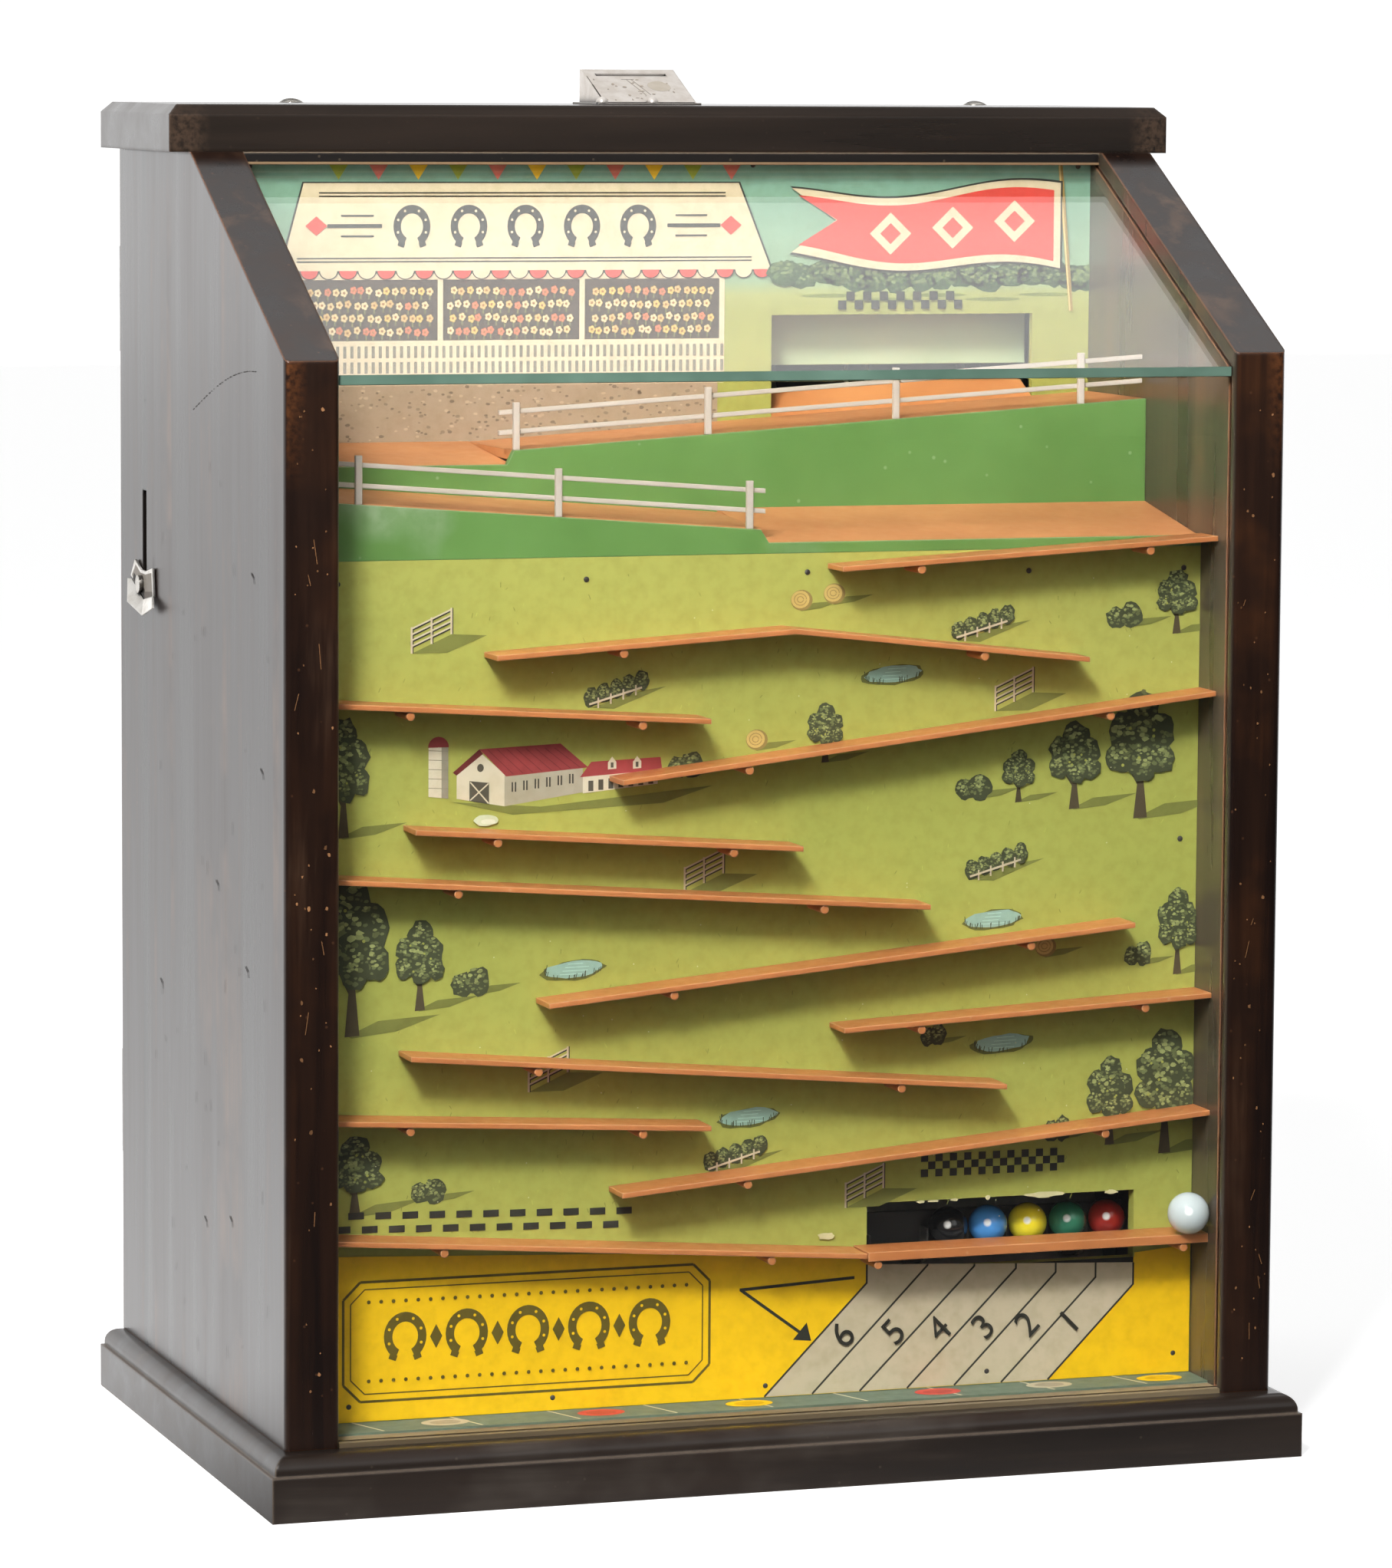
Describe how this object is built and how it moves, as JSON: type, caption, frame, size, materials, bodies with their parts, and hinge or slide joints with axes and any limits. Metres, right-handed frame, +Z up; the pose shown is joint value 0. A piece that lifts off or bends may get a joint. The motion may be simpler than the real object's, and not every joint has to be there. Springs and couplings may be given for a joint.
{
  "type": "counter-top marble racing game",
  "caption": "Glazed wooden counter-top game in which marbles race down zigzag rails, with a pull handle lift, a start gate lever, a coin slot and a rear door.",
  "frame": {"origin": "centre of the base board's underside", "axes": "+X to the player's right, +Y to the back, +Z up"},
  "size_m": [0.41, 0.2464, 0.4847],
  "materials": {
    "base_wood": "black stained, worn",
    "side_wood": "black stained, worn edges",
    "cap_wood": "black stained",
    "rear_wood": "plain stained",
    "door_wood": "plain stained",
    "glass": "polished",
    "trim_wood": "varnished",
    "sill_wood": "plain",
    "floor_card": "printed card",
    "playfield_print": "printed board",
    "inner_wood": "plain",
    "picture_print": "printed board",
    "deck_paint": "matt",
    "fascia_paint": "matt",
    "fence_paint": "matt",
    "rail_paint": "satin",
    "ramp_paint": "satin",
    "tray_metal": "gray, satin",
    "racing_ball_glass": "polished, five colours",
    "white_ball_glass": "polished",
    "rod_steel": "ground",
    "bracket_steel": "zinc plated",
    "gear_brass": "machined",
    "wheel_metal": "turned",
    "cord": "braided",
    "handle_metal": "plated",
    "knob_black": "polished",
    "gate_paint": "matt",
    "nickel": "nickel plated, worn",
    "tin": "tinplate",
    "cash_box_paint": "enamel",
    "screw_black": "blackened",
    "lock_metal": "plated"
  },
  "bodies": {
    "case": {"base_board": "base_wood", "left_side": "side_wood", "right_side": "side_wood", "cap_board": "cap_wood", "rear_frame": "rear_wood", "front_glass": "glass", "upper_glass": "glass", "glass_trim": "trim_wood", "sill_strip": "sill_wood", "floor_card": "floor_card", "playfield_board": "playfield_print", "board_cleats": "inner_wood", "picture_board": "picture_print", "rear_deck": "deck_paint", "turn_deck": "deck_paint", "front_deck": "deck_paint", "landing_deck": "deck_paint", "rear_fascia": "fascia_paint", "front_fascia": "fascia_paint", "rear_fence": "fence_paint", "front_fence": "fence_paint", "start_ramp": "ramp_paint", "race_rails_left": "rail_paint", "race_rails_right": "rail_paint", "race_rails_middle": "rail_paint", "race_rail_peaked": "rail_paint", "finish_rail": "rail_paint", "white_ball": "white_ball_glass", "lift_rods": "rod_steel", "rod_blocks": "inner_wood", "idler_brackets": "bracket_steel", "lift_cord": "cord", "bearing_plates": "bracket_steel", "shaft_bush": "gear_brass", "guide_screws": "bracket_steel", "coin_head": "nickel", "coin_chute": "tin", "cash_box": "cash_box_paint", "cap_screws": "screw_black", "hinge_case_leaves": "bracket_steel"},
    "handle": {"handle_shaft": "rod_steel", "handle_arm": "handle_metal", "handle_knob": "knob_black", "sector_gear": "gear_brass"},
    "drive": {"drive_shaft": "rod_steel", "drive_pulley": "wheel_metal", "pinion_gear": "gear_brass"},
    "upper_wheel": {"upper_idler": "wheel_metal"},
    "lower_wheel": {"lower_idler": "wheel_metal"},
    "lift": {"lift_car": "bracket_steel"},
    "tray": {"ball_tray": "tray_metal", "racing_balls": "racing_ball_glass"},
    "start_slide": {"gate_plate": "gate_paint", "slide_plate": "tin", "lever_screw": "nickel", "lever_grip": "nickel"},
    "door": {"rear_door": "door_wood", "hinge_door_leaves": "bracket_steel", "lock_barrel": "lock_metal"},
    "lock": {"lock_cam": "bracket_steel"}
  },
  "joints": [
    {"name": "pull", "type": "hinge", "parent": "case", "child": "handle", "pos_m": [0.1, 0.05, 0.19], "axis": [1, 0, 0], "range_deg": [0, 85]},
    {"name": "drive_spin", "type": "hinge", "parent": "case", "child": "drive", "pos_m": [0.0928, 0.05, 0.1375], "axis": [1, 0, 0], "range_deg": [-511, 0]},
    {"name": "upper_wheel_spin", "type": "hinge", "parent": "case", "child": "upper_wheel", "pos_m": [0.0928, 0.09201, 0.39381], "axis": [1, 0, 0], "range_deg": [-2724, 0]},
    {"name": "lower_wheel_spin", "type": "hinge", "parent": "case", "child": "lower_wheel", "pos_m": [0.0928, -0.05427, 0.04135], "axis": [1, 0, 0], "range_deg": [-2724, 0]},
    {"name": "lift", "type": "slide", "parent": "case", "child": "lift", "axis": [0, 0.3833, 0.9236], "range_m": [0, 0.33262]},
    {"name": "tray_tip", "type": "hinge", "parent": "lift", "child": "tray", "pos_m": [0.0928, -0.0609, 0.0674], "axis": [1, 0, 0], "range_deg": [0, 9.01]},
    {"name": "start", "type": "slide", "parent": "case", "child": "start_slide", "axis": [0, 0, 1], "range_m": [0, 0.0305]},
    {"name": "door_swing", "type": "hinge", "parent": "case", "child": "door", "pos_m": [-0.1607, 0.1208, 0.2], "axis": [0, 0, 1], "range_deg": [0, 110]},
    {"name": "lock_turn", "type": "hinge", "parent": "door", "child": "lock", "pos_m": [0.14, 0.11, 0.24], "axis": [0, 1, 0], "range_deg": [0, 90]}
  ],
  "couplings": [
    {"joint": "drive_spin", "follows": "pull", "ratio": -6},
    {"joint": "upper_wheel_spin", "follows": "pull", "ratio": -32.029},
    {"joint": "lower_wheel_spin", "follows": "pull", "ratio": -32.029},
    {"joint": "lift", "follows": "pull", "m_per_rad": 0.2242},
    {"joint": "tray_tip", "follows": "pull", "ratio": 0.10588}
  ]
}
